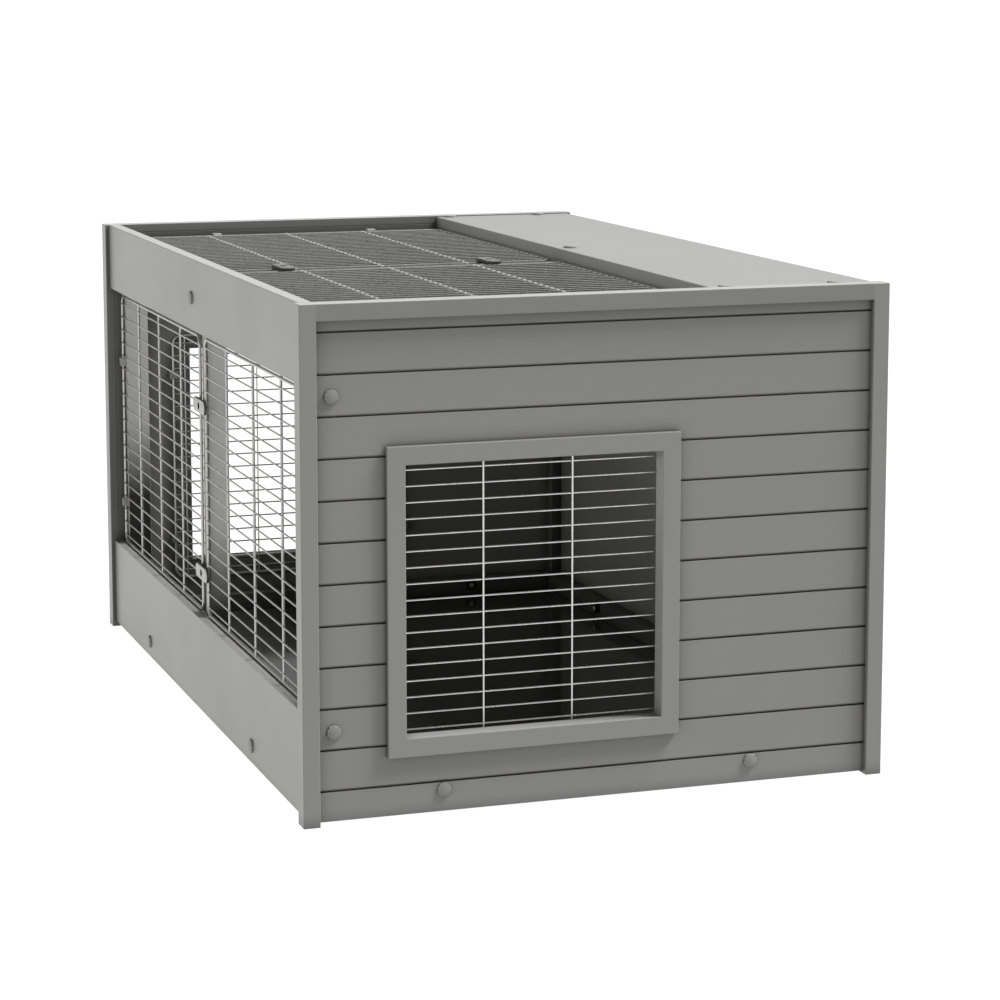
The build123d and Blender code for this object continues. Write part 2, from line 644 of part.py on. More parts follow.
# Roof
with BuildPart() as roof_panel:
    block((-END_INNER, END_INNER), (ROOF_FRONT, WALL_FACE), (ROOF_UNDERSIDE, ROOF_TOP))
    drill(*BEAM_BOLTS)
    drill(*ledge_bolts(-1))
    drill(*ledge_bolts(1))
save(roof_panel.part, "roof_panel")

with BuildPart() as roof_beam:
    block((-END_INNER, END_INNER), (ROOF_FRONT, ROOF_BEAM_BACK),
          (ROOF_UNDERSIDE - ROOF_BEAM_HEIGHT, ROOF_UNDERSIDE))
    drill(*BEAM_BOLTS)
save(roof_beam.part, "roof_beam")

save(bolts(BEAM_BOLTS, ledge_bolts(-1), ledge_bolts(1)), "roof_bolts")

# Bar between the lids
with BuildPart() as lid_bar:
    block((-CENTRE_POST_HALF, CENTRE_POST_HALF), (CENTRE_POST_BACK, ROOF_FRONT),
          (LID_SEAT - LEDGE_HEIGHT, LID_SEAT))
    stud_holes(LID_BUTTON_PLANES)
save(lid_bar.part, "lid_bar")

# Wire doors and lids, with their clips
for name, side in SIDES.items():
    save(door(side), f"{name}_door")
    save(door_clips(side), f"{name}_door_hinge_clips")
    save(lid(side), f"{name}_lid")
    save(lid_clips(side), f"{name}_lid_hinge_clips")

# Turn buttons
save(studs(DOOR_BUTTON_PLANES), "door_button_studs")
save(studs(LID_BUTTON_PLANES), "lid_button_studs")
for name, plane in zip(("door_button_lower", "door_button_upper"), DOOR_BUTTON_PLANES):
    save(button(plane), name)
for name, plane in zip(("lid_button_front", "lid_button_rear"), LID_BUTTON_PLANES):
    save(button(plane), name)
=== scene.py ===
import json
import math

import bpy
from mathutils import Matrix, Vector

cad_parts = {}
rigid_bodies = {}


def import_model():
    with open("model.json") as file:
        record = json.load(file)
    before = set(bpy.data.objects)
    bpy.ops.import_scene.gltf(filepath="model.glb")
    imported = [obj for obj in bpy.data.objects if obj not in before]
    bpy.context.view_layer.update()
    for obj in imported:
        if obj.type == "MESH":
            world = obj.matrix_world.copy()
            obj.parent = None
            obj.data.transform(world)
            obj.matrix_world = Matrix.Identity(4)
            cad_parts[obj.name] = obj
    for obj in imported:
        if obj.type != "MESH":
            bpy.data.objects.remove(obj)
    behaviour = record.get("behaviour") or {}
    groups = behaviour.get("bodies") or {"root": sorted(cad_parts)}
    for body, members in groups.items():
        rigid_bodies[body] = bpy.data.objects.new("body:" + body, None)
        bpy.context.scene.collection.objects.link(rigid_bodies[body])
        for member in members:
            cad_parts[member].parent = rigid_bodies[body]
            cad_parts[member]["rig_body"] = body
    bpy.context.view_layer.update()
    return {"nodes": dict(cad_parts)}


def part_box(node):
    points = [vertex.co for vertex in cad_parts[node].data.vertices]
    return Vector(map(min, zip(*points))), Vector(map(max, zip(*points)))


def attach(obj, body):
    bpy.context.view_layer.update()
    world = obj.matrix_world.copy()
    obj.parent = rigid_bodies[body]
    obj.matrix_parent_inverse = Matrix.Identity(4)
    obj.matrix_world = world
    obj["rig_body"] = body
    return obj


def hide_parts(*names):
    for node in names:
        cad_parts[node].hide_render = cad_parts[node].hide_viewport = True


# Rabbit hutch: grooved grey boards, welded wire doors, lids and grilles, capped bolts and turn buttons.
# Metres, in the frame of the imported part: +X to the right of somebody who faces the wire doors, +Z up.

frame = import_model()
MM = 0.001

SIDES = ("left", "right")

# Boards by the way their grain runs
BOARDS_ALONG_X = ("front_top_rail", "front_bottom_rail", "roof_beam", "roof_panel")
END_RAILS = tuple(f"{side}_end_top_rail" for side in SIDES)
END_STILES = tuple(f"{side}_{end}_stile" for side in SIDES for end in ("front", "rear"))
INSIDE_BOARDS = {"x": ("floor_batten_front", "floor_batten_rear"),
                 "y": ("lid_bar", *(f"floor_batten_{side}" for side in SIDES),
                       *(f"{side}_{ledge}" for side in SIDES for ledge in ("lid_ledge", "roof_ledge"))),
                 "z": tuple(f"{side}_rear_cleat" for side in SIDES)}
POSTS = ("centre_post", *(f"{side}_front_post" for side in SIDES))
PANELS = {"x": ("rear_wall",),
          "y": tuple(f"{side}_end_panel" for side in SIDES)}
WINDOW_FRAMES = tuple(f"{side}_window_frame" for side in SIDES)

# Measures that every kind of piece shares
UP = Vector((0, 0, 1))
AXES = (Vector((1, 0, 0)), Vector((0, 1, 0)), UP)
CENTRE = (0, 0, 0)
TOUCHING = 0.01 * MM
FLAT_ANGLE = math.radians(0.5)
SMOOTH_ANGLE = math.radians(35)
ROUND_SIDES = 32

# Softened board edges, and the finish slots of a board
BOARD_EDGE = 1.0 * MM
PANEL_EDGE = 0.35 * MM
FRAME_EDGE = 0.9 * MM
EDGE_SEGMENTS = 3
SHORTEST_EDGE = 5 * MM
SHARP_ANGLE = math.radians(38)
PLANE_REACH = 0.05 * MM
# The edge slot takes a lighter finish: a painted highlight
EDGE_SLOT = 1
INSIDE_SLOT = 2

# Cosines between a face and a direction: above the first it looks that way, below the second it looks across
FACING = 0.9
SIDEWAYS = 0.3

# Bolt caps: notches as parts of the radius, and the profile as steps of (rise, narrowing)
CAP_LOBES = 10
CAP_STEPS = 6
CAP_RADIUS = 9.0 * MM
CAP_NOTCH = 0.9
CAP_NOTCH_SIDE = 0.955
CAP_RISE = 1.6 * MM
CAP_PROFILE = ((0.6 * MM, 0.985), (0.35 * MM, 0.96), (0.25 * MM, 0.92))
CAP_HEIGHT = 2.8 * MM
SHANK_RADIUS = 4.0 * MM
SHANK_TIP = 0.8 * MM
SHANK_SLOT = 1

# Turn buttons
PLATE_SIZE = (66 * MM, 19 * MM, 3.8 * MM)
PLATE_CORNER = 8.0 * MM
PLATE_CORNER_SEGMENTS = 8
PLATE_EDGE = 0.8 * MM
RECESS_RADIUS = 5.2 * MM
RECESS_DEPTH = 3.2 * MM
HUB_RADIUS = 6.0 * MM
HUB_LENGTH = 5.3 * MM
HUB_EDGE = 0.5 * MM
PLATE_EDGE_SLOT = 1
HUB_SLOT = 2


# Modelling helpers

ELEMENTS = {"VERT": "vertices", "EDGE": "edges", "FACE": "polygons"}


def add(name, data):
    """Add an object to the scene."""
    made = bpy.data.objects.new(name, data)
    bpy.context.scene.collection.objects.link(made)
    return made


def work_on(*pieces):
    """Select these pieces alone and make the last of them active."""
    bpy.ops.object.select_all(action="DESELECT")
    for piece in pieces:
        piece.select_set(True)
    bpy.context.view_layer.objects.active = pieces[-1]


def edit(piece, kind="FACE"):
    """Open a piece in edit mode with nothing selected."""
    work_on(piece)
    bpy.ops.object.mode_set(mode="EDIT")
    bpy.ops.mesh.select_mode(type=kind)
    bpy.ops.mesh.select_all(action="DESELECT")


def close():
    """Leave edit mode."""
    bpy.ops.object.mode_set(mode="OBJECT")


def pick(piece, kind, wanted):
    """Open a closed piece with only those of its vertices, edges or faces selected that are wanted."""
    edit(piece, kind)
    close()
    for element in getattr(piece.data, ELEMENTS[kind]):
        element.select = wanted(element)
    bpy.ops.object.mode_set(mode="EDIT")


def ends_of(piece, edge):
    """Give the places of an edge's two ends."""
    return [piece.data.vertices[index].co for index in edge.vertices]


def face_outwards():
    """Turn all faces of the open piece outwards, and leave edit mode."""
    bpy.ops.mesh.select_all(action="SELECT")
    bpy.ops.mesh.normals_make_consistent(inside=False)
    close()


def narrow(factor):
    """Draw the open selection in towards the Z axis."""
    bpy.ops.transform.resize(value=(factor, factor, 1), center_override=CENTRE)


def step(rise, factor):
    """Extrude the open selection, lift it and draw it in."""
    bpy.ops.mesh.extrude_region_move(TRANSFORM_OT_translate={"value": (0, 0, rise)})
    narrow(factor)


def seat(piece):
    """Put a piece's place, turn and scale into its mesh."""
    work_on(piece)
    bpy.ops.object.transform_apply(location=True, rotation=True, scale=True)


def stand(name, mesh, foot, facing):
    """Make a piece whose mesh stands on a foot, with its Z axis turned to the way that it faces."""
    piece = add(name, mesh)
    turn = UP.rotation_difference(facing).to_matrix().to_4x4()
    piece.matrix_world = Matrix.Translation(foot) @ turn
    seat(piece)
    return piece


def copy_of(node, name):
    """Copy a CAD node's mesh into a new piece, with its loose triangles merged into whole faces."""
    piece = add(name, frame["nodes"][node].data.copy())
    piece.data.materials.clear()
    edit(piece)
    bpy.ops.mesh.select_all(action="SELECT")
    bpy.ops.mesh.remove_doubles(threshold=TOUCHING)
    bpy.ops.mesh.dissolve_limited(angle_limit=FLAT_ANGLE)
    close()
    return piece


def on_plane(points, planes):
    """Say whether all the points lie on one of some planes, given as axis index, value and lowest height."""
    return any(all(abs(point[axis] - value) < PLANE_REACH and point.z > low - PLANE_REACH for point in points)
               for axis, value, low in planes)


def soften(piece, width, kept_sharp=()):
    """Round the long sharp edges of a board, except those that lie on the kept planes."""
    edit(piece, "EDGE")
    bpy.ops.mesh.edges_select_sharp(sharpness=SHARP_ANGLE)
    close()
    sharp = {edge.index for edge in piece.data.edges if edge.select}

    def softened(edge):
        ends = ends_of(piece, edge)
        long_enough = (ends[0] - ends[1]).length > SHORTEST_EDGE
        return edge.index in sharp and long_enough and not on_plane(ends, kept_sharp)

    pick(piece, "EDGE", softened)
    bpy.ops.mesh.bevel(offset=width, segments=EDGE_SEGMENTS, affect="EDGES", clamp_overlap=True,
                       material=EDGE_SLOT)
    close()


def give_finish(piece, slot, directions):
    """Give one of a board's finishes to the flat faces that look along some directions."""
    for face in piece.data.polygons:
        if any(face.normal.dot(direction) > FACING for direction in directions):
            face.material_index = slot


def settle(piece, node, finishes):
    """Give a piece its finishes and its body, and hide the CAD node that it stands for."""
    for finish in finishes:
        piece.data.materials.append(finish)
    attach(piece, frame["nodes"][node]["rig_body"])
    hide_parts(node)


# Shader helpers

# Sockets of a Mix node that is set to colours
MIX_FACTOR, MIX_LOW, MIX_HIGH, MIX_RESULT = 0, 6, 7, 2

# The middle of a noise and of a blend, and how much less blue than red a grey has
MIDDLE = 0.5
WARMTH = 0.035


def grey(level, warmth=WARMTH):
    """Give a grey colour with a trace less blue, or a pure one without warmth."""
    return (level, level, level * (1 - warmth), 1.0)


class Socket:
    """One value among some nodes: arithmetic on it adds Math nodes."""

    def __init__(self, nodes, source):
        self.nodes = nodes
        self.source = source

    def _math(self, operation, *values):
        return self.nodes.node("ShaderNodeMath", {"operation": operation}, dict(enumerate(values)))

    def __add__(self, other):
        return self._math("ADD", self, other)

    def __sub__(self, other):
        return self._math("SUBTRACT", self, other)

    def __mul__(self, other):
        return self._math("MULTIPLY", self, other)

    def __rsub__(self, other):
        return self._math("SUBTRACT", other, self)

    def __lt__(self, other):
        return self._math("LESS_THAN", self, other)

    def __abs__(self):
        return self._math("ABSOLUTE", self)

    __radd__ = __add__
    __rmul__ = __mul__


class Nodes:
    """The nodes of a material or of the sky."""

    def __init__(self, tree):
        self.tree = tree

    def feed(self, slot, value):
        """Link a socket, or set a plain value."""
        if isinstance(value, Socket):
            self.tree.links.new(value.source, slot)
        else:
            slot.default_value = value

    def node(self, kind, settings, inputs, output=0):
        """Add a node, set it, feed its inputs by name or number, and give one output."""
        made = self.tree.nodes.new(kind)
        for key, value in settings.items():
            setattr(made, key, value)
        for key, value in inputs.items():
            self.feed(made.inputs[key], value)
        return Socket(self, made.outputs[output])

    def part(self, vector, axis):
        """Give a vector's X, Y or Z."""
        return self.node("ShaderNodeSeparateXYZ", {}, {"Vector": vector}, axis)


class Finish(Nodes):
    """One material, made node by node."""

    def __init__(self, name):
        self.material = bpy.data.materials.new(name)
        self.material.use_nodes = True
        super().__init__(self.material.node_tree)
        self.shader = self.tree.nodes["Principled BSDF"]

    def place(self, scale=(1, 1, 1)):
        """Give the place on the object, stretched per axis."""
        spot = self.node("ShaderNodeTexCoord", {}, {}, "Object")
        return self.node("ShaderNodeMapping", {}, {"Vector": spot, "Scale": scale})

    def noise(self, vector, scale, detail=2.0, roughness=0.5):
        """Give a soft random value around zero."""
        inputs = {"Vector": vector, "Scale": scale, "Detail": detail, "Roughness": roughness}
        return self.node("ShaderNodeTexNoise", {}, inputs, "Fac") - MIDDLE

    def blend(self, factor, low, high):
        """Mix two colours, all of the low one at 0 and all of the high one at 1."""
        settings = {"data_type": "RGBA", "clamp_factor": True}
        inputs = {MIX_FACTOR: factor, MIX_LOW: low, MIX_HIGH: high}
        return self.node("ShaderNodeMix", settings, inputs, MIX_RESULT)

    def shades(self, level, darkest, lightest, layers, warmth=WARMTH):
        """Vary a grey between two parts of its level, by layers of (weight, noise)."""
        tone = MIDDLE
        for weight, layer in layers:
            tone += weight * layer
        return self.blend(tone, grey(level * darkest, warmth), grey(level * lightest, warmth))

    def bump(self, height, strength, distance):
        """Turn a height into a normal."""
        inputs = {"Height": height, "Strength": strength, "Distance": distance}
        return self.node("ShaderNodeBump", {}, inputs)

    def surface(self, **values):
        """Feed the shader's sockets, named with underscores for spaces."""
        for key, value in values.items():
            self.feed(self.shader.inputs[key.replace("_", " ")], value)
        return self.material


# Finishes

BOARD_GREY = 0.175
# Painted shade: darker copies of the board finish for faces that look inwards and for the boards inside
INSIDE_PAINTED_SHADE = {"x": 0.09, "y": 0.14, "z": 0.13}
BATTEN_PAINTED_SHADE = {"x": 0.03, "y": 0.055, "z": 0.05}
POST_PAINTED_LIGHT = 0.38
PAINTED_HIGHLIGHT = 1.3
END_RAIL_PAINTED_SHADE = 0.87
WINDOW_LIGHT = 1.03
GRAIN_ALONG = 3.0
GRAIN_ACROSS = 240.0
GRAIN_SCALES = {"x": (GRAIN_ALONG, GRAIN_ACROSS, GRAIN_ACROSS),
                "y": (GRAIN_ACROSS, GRAIN_ALONG, GRAIN_ACROSS),
                "z": (GRAIN_ACROSS, GRAIN_ACROSS, GRAIN_ALONG)}

# Painted shade in the corners, and painted shade below a height on the posts' inward faces
SHELTER_REACH = 20 * MM
SHELTER_SAMPLES = 4
SHELTER_RATE = 1.1
SHELTER_START = 0.03
SHELTER_SHADE = 0.15
LOW_PAINTED_SHADE = 0.04
CENTRE_PAINTED_SHADE = (150 * MM, 270 * MM)
CORNER_PAINTED_SHADE = (210 * MM, 330 * MM)

# Bars and rear rims of the lids, painted lighter than the other wires: a painted highlight
LID_BARS = 3
LID_BAR_RADIUS = 2.0 * MM
LID_RIM_RADIUS = 2.2 * MM
ROW_HIGHLIGHT = 0.62

# Brush marks of the zinc sheet and rub marks of the floor, per axis
BRUSH_SCALES = (900.0, 60.0, 900.0)
RUB_SCALES = (6.0, 60.0, 60.0)


def board_finish(name, along, level, shade_below=None):
    """Painted composite board: faint grain, soft mottling, fine speckle, and painted shade in the corners.

    Painted shade darkens the board below the second of two heights, down to the first.
    """
    finish = Finish(name)
    spot = finish.place()
    streak = finish.noise(finish.place(GRAIN_SCALES[along]), scale=1.0, detail=3.0)
    mottle = finish.noise(spot, scale=7.0, detail=3.0, roughness=0.6)
    speckle = finish.noise(spot, scale=900.0, detail=1.0)
    paint = finish.shades(level, darkest=0.95, lightest=1.05,
                          layers=((0.3, streak), (0.7, mottle), (0.6, speckle)))
    # Painted shade: ambient occlusion darkens corners, grooves and joints, where shade falls.
    open_air = finish.node("ShaderNodeAmbientOcclusion", {"samples": SHELTER_SAMPLES},
                           {"Distance": SHELTER_REACH}, "AO")
    painted_corner_shade = SHELTER_RATE * (1 - open_air) - SHELTER_START + 0.2 * mottle
    colour = finish.blend(painted_corner_shade, paint, grey(level * SHELTER_SHADE))
    # Painted shade: darker towards the bottom, below the second height.
    if shade_below:
        low, high = shade_below
        above_shade = (finish.part(spot, "Z") - low) * (1 / (high - low)) + 0.6 * mottle
        colour = finish.blend(above_shade, grey(level * LOW_PAINTED_SHADE), colour)
    relief = finish.bump(0.7 * streak + 0.3 * speckle, strength=0.08, distance=0.4 * MM)
    return finish.surface(Base_Color=colour, Roughness=0.36 + 0.15 * mottle + 0.06 * streak,
                          Specular_IOR_Level=0.5, Normal=relief)


def wire_finish(name, level, metal=0.95, highlight_rows=()):
    """Galvanised wire: dull zinc with a faint spangle and drawing marks.

    Highlight rows, each a place in depth and a half width, are wires painted lighter: a painted highlight.
    """
    finish = Finish(name)
    spot = finish.place()
    spangle = finish.node("ShaderNodeTexVoronoi", {"feature": "F1"}, {"Vector": spot, "Scale": 260.0},
                          "Color")
    patch = finish.node("ShaderNodeSeparateColor", {}, {"Color": spangle}) - MIDDLE
    dull = finish.noise(spot, scale=55.0, detail=3.0)
    colour = finish.shades(level, darkest=0.86, lightest=1.1, layers=((0.7, patch), (0.9, dull)))
    # Painted highlight on the lids' bars and rear rims.
    for place, half_width in highlight_rows:
        in_row = abs(finish.part(spot, "Y") - place) < half_width
        colour = finish.blend(in_row, colour, grey(ROW_HIGHLIGHT))
    return finish.surface(Base_Color=colour, Metallic=metal, Roughness=0.33 + 0.22 * dull + 0.1 * patch,
                          Normal=finish.bump(dull, strength=0.15, distance=0.2 * MM))


def plate_finish(name, level):
    """Zinc-plated sheet of the turn buttons and clips: brushed across, with small scuffs."""
    finish = Finish(name)
    brush = finish.noise(finish.place(BRUSH_SCALES), scale=1.0)
    scuff = finish.noise(finish.place(), scale=160.0, detail=4.0, roughness=0.7)
    colour = finish.shades(level, darkest=0.88, lightest=1.08, layers=((0.6, brush), (0.8, scuff)))
    return finish.surface(Base_Color=colour, Metallic=0.8, Roughness=0.4 + 0.2 * brush + 0.25 * scuff,
                          Normal=finish.bump(brush, strength=0.1, distance=0.2 * MM))


def moulded_finish(name, level, gloss=0.5):
    """Matte moulded plastic, or blackened metal, with a fine spark texture."""
    finish = Finish(name)
    spot = finish.place()
    spark = finish.noise(spot, scale=1500.0)
    cloud = finish.noise(spot, scale=90.0)
    colour = finish.shades(level, darkest=0.93, lightest=1.07, layers=((0.6, spark), (0.8, cloud)))
    return finish.surface(Base_Color=colour, Roughness=0.55 + 0.15 * cloud, Specular_IOR_Level=gloss,
                          Normal=finish.bump(spark, strength=0.15, distance=0.2 * MM))


def floor_finish(name, level):
    """Dark sealed floor board with a soft sheen, faint rub marks and dust."""
    finish = Finish(name)
    dust = finish.noise(finish.place(), scale=12.0, detail=4.0, roughness=0.6)
    rub = finish.noise(finish.place(RUB_SCALES), scale=1.0, detail=3.0)
    colour = finish.shades(level, darkest=0.8, lightest=1.25, layers=((0.8, dust), (0.5, rub)))
    return finish.surface(Base_Color=colour, Roughness=0.1 + 0.15 * dust, Specular_IOR_Level=0.8,
                          Normal=finish.bump(rub, strength=0.1, distance=0.3 * MM))


lid_low, lid_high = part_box("right_lid")
lid_bar_pitch = (lid_high.y - lid_low.y - 2 * LID_RIM_RADIUS) / (LID_BARS + 1)
lid_highlight_rows = [(lid_low.y + LID_RIM_RADIUS + lid_bar_pitch * (index + 1), LID_BAR_RADIUS)
            for index in range(LID_BARS)] + [(lid_high.y, 2 * LID_RIM_RADIUS)]

board = {axis: board_finish(f"painted_board_{axis}", axis, BOARD_GREY) for axis in "xyz"}
board_highlight = {axis: board_finish(f"painted_board_highlight_{axis}", axis, BOARD_GREY * PAINTED_HIGHLIGHT) for axis in "xyz"}
# Painted shade: the end rails take a darker copy of the board finish.
rail_board = board_finish("painted_end_rail", "y", BOARD_GREY * END_RAIL_PAINTED_SHADE)
inside = {axis: board_finish(f"painted_shade_inside_{axis}", axis, level) for axis, level in INSIDE_PAINTED_SHADE.items()}
batten = {axis: board_finish(f"painted_shade_batten_{axis}", axis, level) for axis, level in BATTEN_PAINTED_SHADE.items()}
# The posts' other faces take the highlight level too: painted highlight.
post_board = board_finish("painted_post", "z", BOARD_GREY * PAINTED_HIGHLIGHT)
# The posts' inward faces are lighter, painted light, and darker towards the bottom, painted shade.
centre_post_light_and_shade = board_finish("painted_light_and_shade_centre_post", "z", POST_PAINTED_LIGHT, CENTRE_PAINTED_SHADE)
corner_post_light_and_shade = board_finish("painted_light_and_shade_corner_post", "z", POST_PAINTED_LIGHT, CORNER_PAINTED_SHADE)
window_board = board_finish("painted_window_frame", "z", BOARD_GREY * WINDOW_LIGHT)
window_highlight = board_finish("painted_window_frame_edge", "z", BOARD_GREY * PAINTED_HIGHLIGHT)
# Painted light and shade: one galvanised wire at three levels, lighter on the grilles and darker on the lids
# than on the doors.
wire = {"door": wire_finish("galvanised_door_wire", level=0.5),
        "window_grille": wire_finish("galvanised_grille_wire", level=0.75),
        "lid": wire_finish("galvanised_lid_wire", level=0.34, metal=0.7, highlight_rows=lid_highlight_rows)}
clip = {"door_hinge_clips": plate_finish("zinc_door_hinge_clips", level=0.45),
        "lid_hinge_clips": plate_finish("zinc_lid_hinge_clips", level=0.95),
        "grille_clips": plate_finish("zinc_grille_clips", level=0.3)}
plate = plate_finish("zinc_button", level=0.4)
dark_zinc_painted_shade = plate_finish("dark_zinc_button_painted_shade", level=0.08)
nut_metal = moulded_finish("blackened_nut", level=0.006, gloss=0.05)
hub_and_recess_shade = moulded_finish("black_hub_and_recess_shade", level=0.02)
cap_plastic = moulded_finish("grey_cap", level=BOARD_GREY)
floor_board = floor_finish("sealed_floor_board", level=0.025)


# Boards

# Planes on which boards meet and stay sharp, as axis index, value and lowest height
half_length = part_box("front_top_rail")[1].x
stile_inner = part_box("right_end_top_rail")[1].y
rail_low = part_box("right_end_top_rail")[0].z
board_ends = [(0, half_length, 0), (0, -half_length, 0)]
rail_ends = [(1, stile_inner, 0), (1, -stile_inner, 0)]
stile_joints = [(1, stile_inner, rail_low), (1, -stile_inner, rail_low)]

# Ways in which a board looks inwards, by the first word of its name
INWARDS = {"left": (AXES[0],), "right": (-AXES[0],), "rear": (-AXES[1],), "centre": (AXES[0], -AXES[0])}


def make_board(node, finishes, width=BOARD_EDGE, kept_sharp=(), cut_height=None, highlight_top=False):
    """Make one softened board in the place of its CAD node, with a third finish where it looks inwards."""
    piece = copy_of(node, f"{node}_board")
    if cut_height:
        edit(piece)
        bpy.ops.mesh.select_all(action="SELECT")
        bpy.ops.mesh.bisect(plane_co=(0, 0, cut_height), plane_no=UP)
        close()
    soften(piece, width, kept_sharp)
    settle(piece, node, finishes)
    # Painted highlight: the top faces take the lighter edge finish.
    if highlight_top:
        give_finish(piece, EDGE_SLOT, (UP,))
    # Painted shade on inward faces; on the posts, painted light and shade.
    if len(finishes) > INSIDE_SLOT:
        give_finish(piece, INSIDE_SLOT, INWARDS[node.split("_")[0]])


for node in BOARDS_ALONG_X:
    make_board(node, (board["x"], board_highlight["x"]), kept_sharp=board_ends, highlight_top=node == "front_top_rail")
for node in END_RAILS:
    make_board(node, (rail_board, board_highlight["y"]), kept_sharp=rail_ends, highlight_top=True)
for node in END_STILES:
    make_board(node, (board["z"], board_highlight["z"], inside["z"]), kept_sharp=stile_joints, cut_height=rail_low,
               highlight_top=True)
# Painted shade: the boards inside take a much darker copy of the board finish.
for axis, nodes in INSIDE_BOARDS.items():
    for node in nodes:
        make_board(node, (batten[axis], batten[axis]))
for node in POSTS:
    inward_post_finish = centre_post_light_and_shade if node == "centre_post" else corner_post_light_and_shade
    make_board(node, (post_board, post_board, inward_post_finish))
for axis, nodes in PANELS.items():
    for node in nodes:
        make_board(node, (board[axis], board_highlight[axis], inside[axis]), width=PANEL_EDGE)
for node in WINDOW_FRAMES:
    make_board(node, (window_board, window_highlight), width=FRAME_EDGE)


# Bolts


def loose_parts(node):
    """Give the vertices of each separate solid of a CAD node."""
    copy = copy_of(node, "loose_copy")
    edit(copy)
    bpy.ops.mesh.separate(type="LOOSE")
    close()
    parts = [[vertex.co.copy() for vertex in part.data.vertices] for part in bpy.context.selected_objects]
    bpy.ops.object.delete()
    return parts


def make_cap(name):
    """Model one bolt: a scalloped cap that stands on the origin and a shank that hangs below it."""
    bpy.ops.object.select_all(action="DESELECT")
    bpy.ops.mesh.primitive_circle_add(vertices=CAP_LOBES * CAP_STEPS, radius=CAP_RADIUS, fill_type="NGON")
    cap = bpy.context.object
    cap.name = name
    for offset, factor in ((0, CAP_NOTCH), (1, CAP_NOTCH_SIDE), (CAP_STEPS - 1, CAP_NOTCH_SIDE)):
        pick(cap, "VERT", lambda vertex: vertex.index % CAP_STEPS == offset)
        narrow(factor)
        close()
    edit(cap)
    bpy.ops.mesh.select_all(action="SELECT")
    step(CAP_RISE, 1.0)
    for rise, factor in CAP_PROFILE:
        step(rise, factor)
    close()
    pick(cap, "FACE", lambda face: face.center.z < TOUCHING)
    step(0, SHANK_RADIUS / CAP_RADIUS)
    bpy.ops.transform.tosphere(value=1.0)
    step(-CAP_RADIUS, 1.0)
    step(-SHANK_TIP, 1 - SHANK_TIP / SHANK_RADIUS)
    face_outwards()
    for face in cap.data.polygons:
        face.material_index = SHANK_SLOT if face.center.z < -TOUCHING else 0
    return cap


def place_cap(pattern, points, name):
    """Copy the cap onto one CAD bolt, turned to face the way that its head faces."""
    low = Vector([min(point[axis] for point in points) for axis in range(3)])
    high = Vector([max(point[axis] for point in points) for axis in range(3)])
    middle = (low + high) / 2
    axis = max(range(3), key=lambda index: (high - low)[index])
    rim = [point for point in points
           if (point - middle - AXES[axis] * (point - middle)[axis]).length > SHANK_RADIUS * 2]
    facing = AXES[axis] * (1 if rim[0][axis] > middle[axis] else -1)
    foot = middle.copy()
    foot[axis] = min(point[axis] * facing[axis] for point in rim) * facing[axis]
    mesh = pattern.data.copy()
    stretch = (high - low)[axis] - CAP_HEIGHT - CAP_RADIUS - SHANK_TIP
    for vertex in mesh.vertices:
        if vertex.co.z < -CAP_RADIUS / 2:
            vertex.co.z -= stretch
    return stand(name, mesh, foot, facing)


cap_pattern = make_cap("bolt_pattern")
for node in ("right_end_bolts", "left_end_bolts", "front_rail_bolts", "rear_wall_bolts", "roof_bolts"):
    made = [place_cap(cap_pattern, points, f"{node}_{index}")
            for index, points in enumerate(loose_parts(node))]
    work_on(*made)
    bpy.ops.object.join()
    joined = bpy.context.object
    joined.name = node.replace("bolts", "bolt_caps")
    joined.data.materials.clear()
    bpy.ops.object.shade_smooth_by_angle(angle=SMOOTH_ANGLE)
    settle(joined, node, (cap_plastic, nut_metal))
bpy.data.objects.remove(cap_pattern)


# Turn buttons


def make_button(name):
    """Model one turn button: a rounded plate above the origin, a round recess in it and a hub below."""
    thickness = PLATE_SIZE[2]
    bpy.ops.object.select_all(action="DESELECT")
    bpy.ops.mesh.primitive_cube_add(size=1, location=(0, 0, thickness / 2), scale=PLATE_SIZE)
    button = bpy.context.object
    button.name = name
    seat(button)

    def upright(edge):
        first, last = ends_of(button, edge)
        return abs(first.z - last.z) > TOUCHING

    def on_top(edge):
        return all(end.z > thickness - TOUCHING for end in ends_of(button, edge))

    pick(button, "EDGE", upright)
    bpy.ops.mesh.bevel(offset=PLATE_CORNER, segments=PLATE_CORNER_SEGMENTS, affect="EDGES")
    close()
    pick(button, "EDGE", on_top)
    bpy.ops.mesh.bevel(offset=PLATE_EDGE, segments=EDGE_SEGMENTS, affect="EDGES")
    close()
    bpy.ops.object.select_all(action="DESELECT")
    bpy.ops.mesh.primitive_cylinder_add(vertices=ROUND_SIDES, radius=RECESS_RADIUS, depth=thickness,
                                        location=(0, 0, thickness * 1.5 - RECESS_DEPTH))
    cutter = bpy.context.object
    work_on(button)
    cut = button.modifiers.new("recess", "BOOLEAN")
    cut.operation = "DIFFERENCE"
    cut.object = cutter
    bpy.ops.object.modifier_apply(modifier=cut.name)
    bpy.data.objects.remove(cutter)
    bpy.ops.object.select_all(action="DESELECT")
    bpy.ops.mesh.primitive_circle_add(vertices=ROUND_SIDES, radius=HUB_RADIUS, fill_type="NGON")
    hub = bpy.context.object
    edit(hub)
    bpy.ops.mesh.select_all(action="SELECT")
    step(-HUB_LENGTH + HUB_EDGE, 1.0)
    step(-HUB_EDGE, 1 - HUB_EDGE / HUB_RADIUS)
    face_outwards()
    work_on(hub, button)
    bpy.ops.object.join()
    button.data.materials.clear()
    return button


